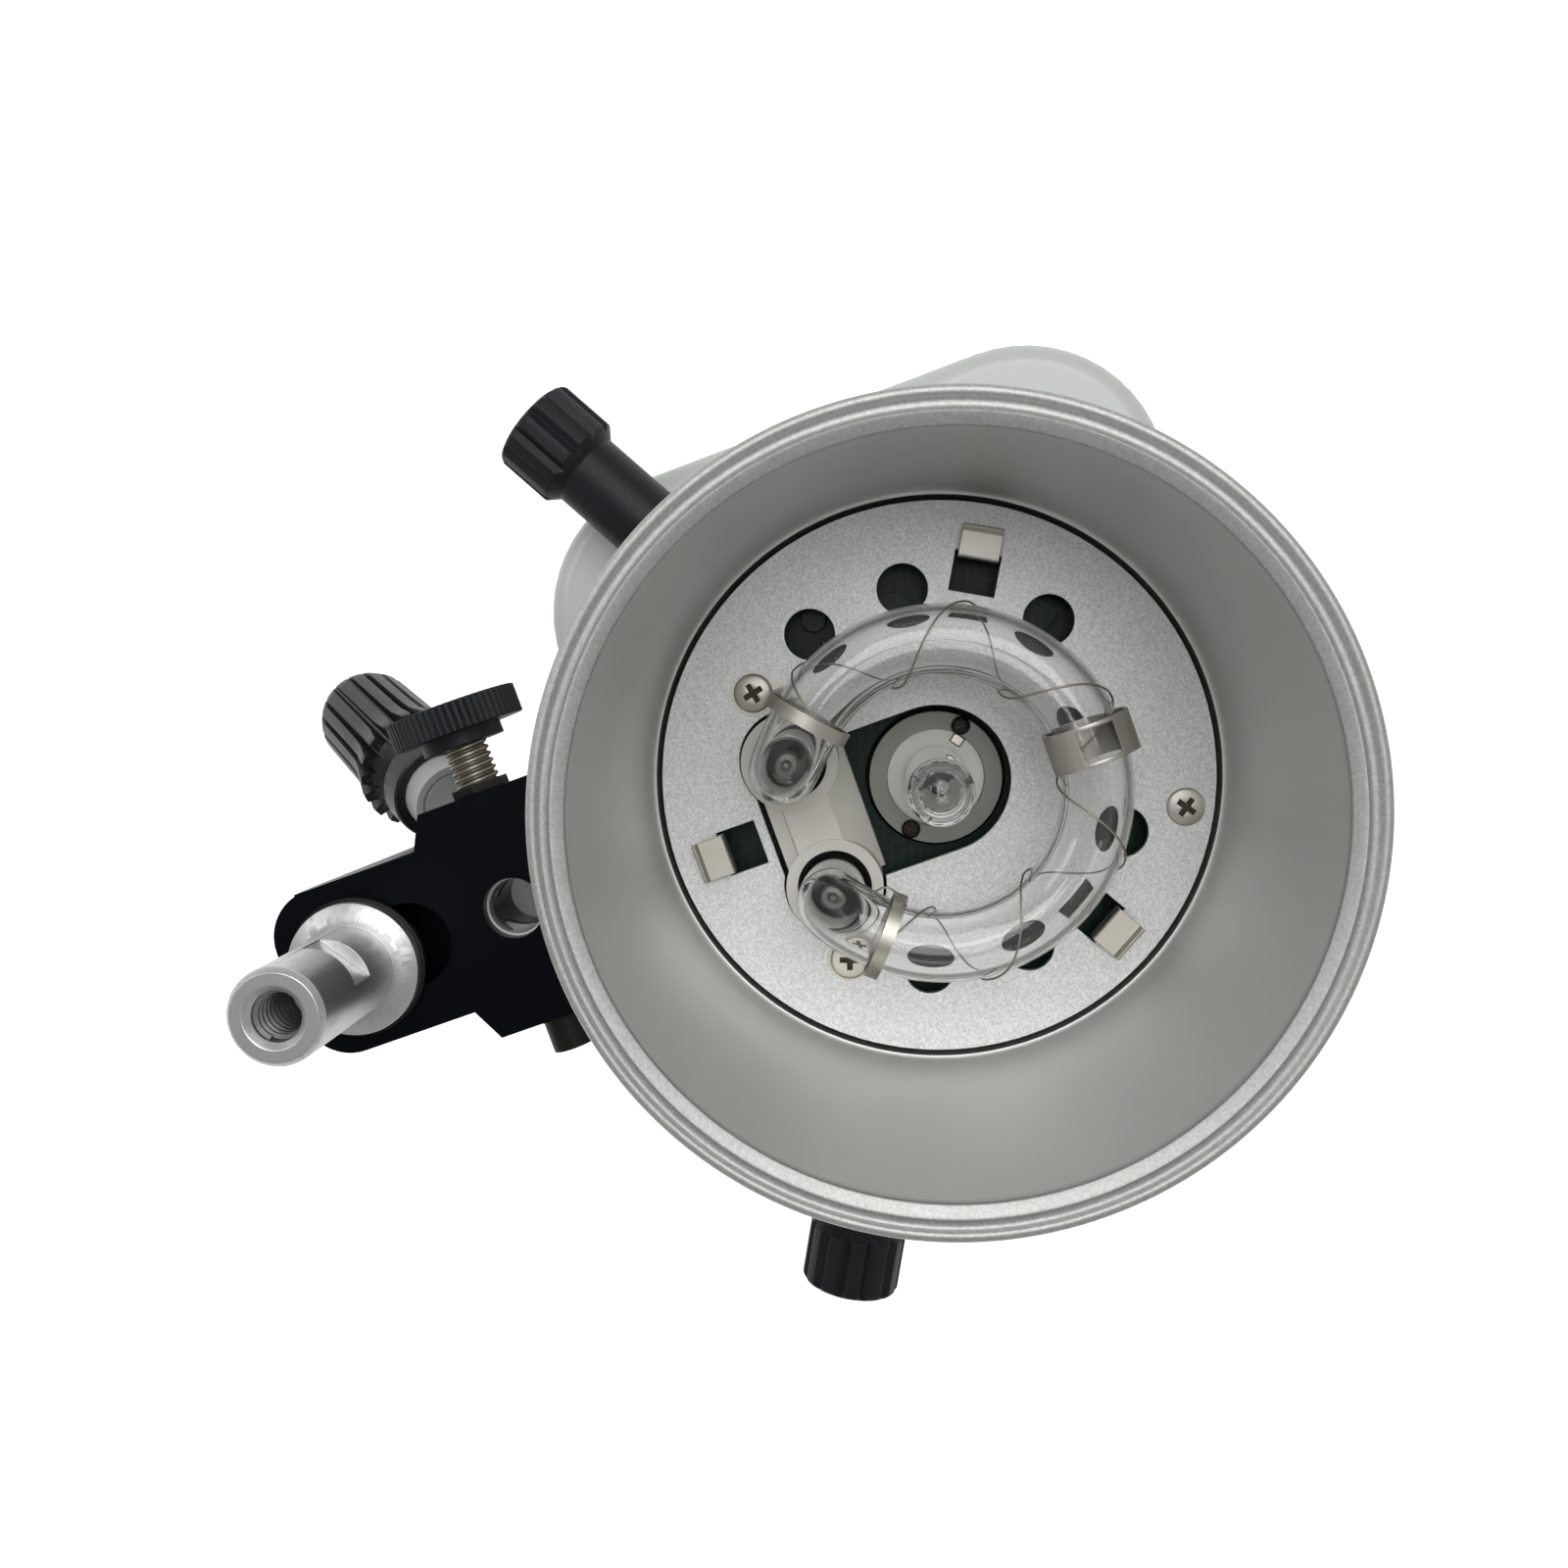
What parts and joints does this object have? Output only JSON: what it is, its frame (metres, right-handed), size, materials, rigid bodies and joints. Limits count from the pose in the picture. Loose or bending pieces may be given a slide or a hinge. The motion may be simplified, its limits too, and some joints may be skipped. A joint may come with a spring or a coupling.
{
  "type": "studio monolight",
  "caption": "Mains studio flash head with a ring flash tube, modelling lamp, removable bowl reflector with screw locks, and a tilting bracket with stand spigot and umbrella bore.",
  "frame": {"origin": "where the optical axis meets the plane of the rear rim that the lamp stands on", "axes": "+Z along the optical axis, out of the reflector; +Y to the top of the lamp, away from the bracket; +X to the side of the tilt axle head"},
  "size_m": [0.1986, 0.191, 0.2875],
  "materials": {
    "case_paint": "glossy light grey moulded shell",
    "panel_black": "fine-grained black moulding",
    "ring_black": "satin black casting",
    "tray_steel": "zinc plated sheet",
    "capacitor": "sleeved cans",
    "board_green": "green circuit board",
    "coil_black": "potted coil",
    "plate_silver": "sparkling satin sheet",
    "nickel": "nickel plate",
    "ivory_ceramic": "ivory ceramic",
    "grey_ceramic": "grey steatite",
    "tube_glass": "clear glass",
    "bulb_glass": "clear quartz",
    "electrode": "dull metal",
    "wire": "thin nickel wire",
    "reflector_satin": "satin spun aluminium",
    "knob_black": "blue-black moulding",
    "arm_grey": "light grey paint",
    "grip_black": "ribbed dark moulding",
    "bracket_black": "satin black paint",
    "screw_black": "black oxide",
    "dull_nickel": "worn nickel",
    "spigot_alu": "turned aluminium",
    "block_grey": "grey die casting",
    "control_black": "black moulding",
    "rocker_red": "red rocker",
    "button_red": "red button",
    "lens_amber": "amber lens",
    "lens_dark": "dark red dome",
    "inlet_black": "black inlet",
    "brass_pin": "plated pins"
  },
  "bodies": {
    "lamp": {"rear_frame": "panel_black", "rear_panel": "panel_black", "case_shell": "case_paint", "front_cover": "case_paint", "mount_ring": "ring_black", "chassis": "tray_steel", "capacitors": "capacitor", "power_board": "board_green", "trigger_coil": "coil_black", "face_board": "board_green", "face_plate": "plate_silver", "plate_pillars": "tray_steel", "plate_screws": "nickel", "dome_clips": "nickel", "tube_socket": "ivory_ceramic", "flash_tube": "tube_glass", "tube_electrodes": "electrode", "trigger_wire": "wire", "tube_clip": "nickel", "tube_bands": "nickel", "lamp_holder": "grey_ceramic", "holder_screws": "screw_black", "modelling_lamp": "bulb_glass", "lamp_filament": "electrode", "tilt_arm": "arm_grey", "arm_screws": "screw_black", "clamp_boss": "arm_grey", "tilt_axle": "screw_black", "sync_jack": "screw_black", "photocell": "lens_dark", "ready_lamp": "lens_amber", "power_inlet": "inlet_black", "inlet_pins": "brass_pin", "panel_screws": "screw_black"},
    "reflector": {"reflector": "reflector_satin"},
    "lock_screw_left": {"lock_screw_left": "dull_nickel"},
    "lock_knob_left": {"lock_knob_left": "knob_black"},
    "lock_screw_right": {"lock_screw_right": "dull_nickel"},
    "lock_knob_right": {"lock_knob_right": "knob_black"},
    "tilt_stud": {"tilt_stud": "dull_nickel"},
    "tilt_knob": {"tilt_knob": "grip_black"},
    "bracket": {"bracket": "bracket_black", "umbrella_block": "block_grey", "block_screw": "screw_black", "thumb_nut": "screw_black", "spigot": "spigot_alu", "spigot_washer": "screw_black", "spigot_bolt": "screw_black"},
    "thumb_screw": {"thumb_screw": "dull_nickel"},
    "thumb_wheel": {"thumb_wheel": "knob_black"},
    "power_dial": {"power_dial": "control_black"},
    "lamp_dial": {"lamp_dial": "control_black"},
    "mains_rocker": {"mains_rocker": "rocker_red"},
    "cell_rocker": {"cell_rocker": "control_black"},
    "test_button": {"test_button": "button_red"}
  },
  "joints": [
    {"name": "reflector_lift", "type": "slide", "parent": "lamp", "child": "reflector", "axis": [0, 0, 1], "range_m": [0, 0.1]},
    {"name": "lock_left_travel", "type": "slide", "parent": "lamp", "child": "lock_screw_left", "axis": [-0.8746, -0.4848, 0], "range_m": [0, 0.002]},
    {"name": "lock_left_turn", "type": "hinge", "parent": "lock_screw_left", "child": "lock_knob_left", "pos_m": [-0.08746, -0.04848, 0.2], "axis": [-0.8746, -0.4848, 0], "range_deg": [0, 720]},
    {"name": "lock_right_travel", "type": "slide", "parent": "lamp", "child": "lock_screw_right", "axis": [0.8746, -0.4848, 0], "range_m": [0, 0.002]},
    {"name": "lock_right_turn", "type": "hinge", "parent": "lock_screw_right", "child": "lock_knob_right", "pos_m": [0.08746, -0.04848, 0.2], "axis": [0.8746, -0.4848, 0], "range_deg": [0, 720]},
    {"name": "bracket_tilt", "type": "hinge", "parent": "lamp", "child": "bracket", "pos_m": [-0.0072, -0.093, 0.209], "axis": [1, 0, 0], "range_deg": [0, 100]},
    {"name": "tilt_lock_travel", "type": "slide", "parent": "lamp", "child": "tilt_stud", "axis": [-0.4894, -0.4563, -0.7431], "range_m": [0, 0.00125]},
    {"name": "tilt_lock_turn", "type": "hinge", "parent": "tilt_stud", "child": "tilt_knob", "pos_m": [-0.04288, -0.10539, 0.19071], "axis": [-0.4894, -0.4563, -0.7431], "range_deg": [0, 360]},
    {"name": "thumb_travel", "type": "slide", "parent": "bracket", "child": "thumb_screw", "axis": [-1, 0, 0], "range_m": [-0.00375, 0.0025]},
    {"name": "thumb_turn", "type": "hinge", "parent": "thumb_screw", "child": "thumb_wheel", "pos_m": [-0.042, -0.0781, 0.24], "axis": [-1, 0, 0], "range_deg": [-1080, 720]},
    {"name": "power_turn", "type": "hinge", "parent": "lamp", "child": "power_dial", "pos_m": [0, 0.024, 0.01], "axis": [0, 0, -1], "range_deg": [0, 270]},
    {"name": "lamp_dial_turn", "type": "hinge", "parent": "lamp", "child": "lamp_dial", "pos_m": [-0.042, 0.024, 0.01], "axis": [0, 0, -1], "range_deg": [0, 270]},
    {"name": "mains_switch", "type": "hinge", "parent": "lamp", "child": "mains_rocker", "pos_m": [-0.002, -0.036, 0.014], "axis": [1, 0, 0], "range_deg": [-10, 0]},
    {"name": "cell_switch", "type": "hinge", "parent": "lamp", "child": "cell_rocker", "pos_m": [0.042, 0.01, 0.014], "axis": [1, 0, 0], "range_deg": [-10, 0]},
    {"name": "test_press", "type": "slide", "parent": "lamp", "child": "test_button", "axis": [0, 0, 1], "range_m": [0, 0.0015], "stiffness_N_per_m": 200, "springref_m": -0.001}
  ],
  "couplings": [
    {"joint": "lock_left_turn", "follows": "lock_left_travel", "rad_per_m": 6283.2},
    {"joint": "lock_right_turn", "follows": "lock_right_travel", "rad_per_m": 6283.2},
    {"joint": "tilt_lock_turn", "follows": "tilt_lock_travel", "rad_per_m": 5026.5},
    {"joint": "thumb_turn", "follows": "thumb_travel", "rad_per_m": 5026.5}
  ]
}
